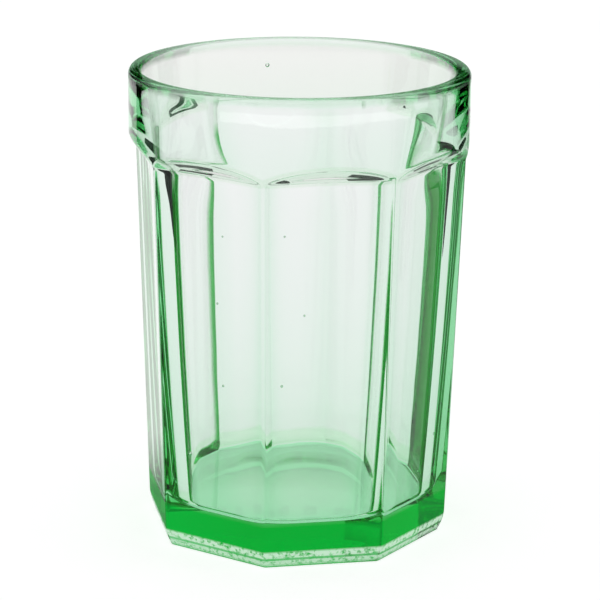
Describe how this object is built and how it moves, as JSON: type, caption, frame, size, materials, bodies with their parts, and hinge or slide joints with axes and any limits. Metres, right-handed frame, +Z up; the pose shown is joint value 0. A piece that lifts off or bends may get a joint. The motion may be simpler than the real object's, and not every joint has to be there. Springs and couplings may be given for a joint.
{
  "type": "water glass",
  "caption": "Pressed glass tumbler with flat facets that end in arched shoulders under a plain round band.",
  "frame": {"origin": "centre of the foot, on the surface that the glass stands on", "axes": "+Z up along the axis of the glass, the middle of one facet faces -Y"},
  "size_m": [0.086, 0.086, 0.12],
  "materials": {
    "green_glass": "fire-polished clear glass, pale green"
  },
  "bodies": {
    "root": {"tumbler": "green_glass"}
  },
  "joints": []
}
